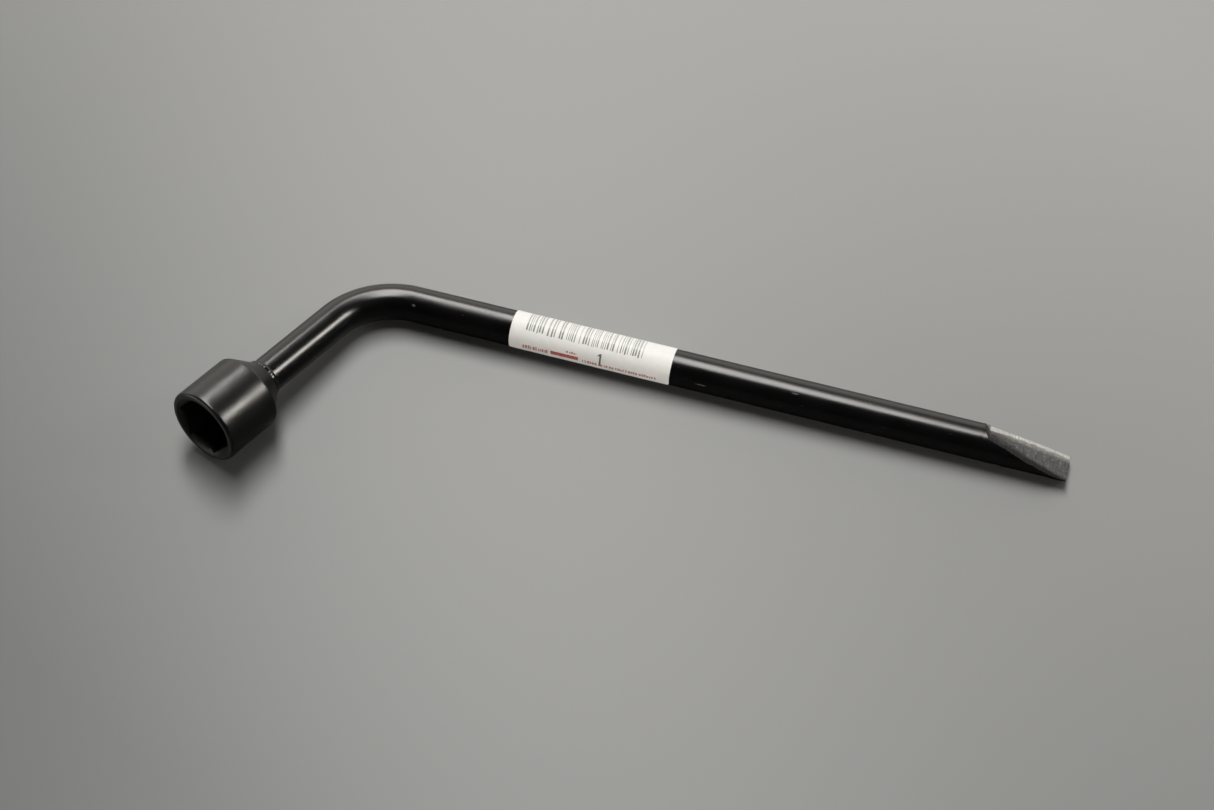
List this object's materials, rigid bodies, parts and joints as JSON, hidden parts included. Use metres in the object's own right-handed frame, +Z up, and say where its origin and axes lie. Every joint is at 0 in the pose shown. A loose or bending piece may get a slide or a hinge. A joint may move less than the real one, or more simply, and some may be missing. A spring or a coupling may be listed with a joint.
{
  "type": "lug wrench",
  "caption": "L-shaped round-bar wheel-nut wrench with a welded hexagon socket on the short arm, a ground pry tip on the long arm and a wrapped sticker.",
  "frame": {"origin": "centre of the bounding box in X and Y, on the surface that the wrench lies on", "axes": "+Z up; +X along the long arm towards the pry tip; the short arm reaches towards -Y, a little towards -X, and rises about 6.6 degrees"},
  "size_m": [0.32, 0.0976, 0.0322],
  "materials": {
    "bar_paint": "gloss black paint on steel, bare ground steel on the pry tip's face",
    "socket_paint": "satin black paint on forged steel",
    "weld_paint": "gloss black paint over weld",
    "label_vinyl": "white vinyl sticker, satin"
  },
  "bodies": {
    "root": {"bar": "bar_paint", "socket": "socket_paint", "weld_bead": "weld_paint", "label": "label_vinyl"}
  },
  "joints": []
}
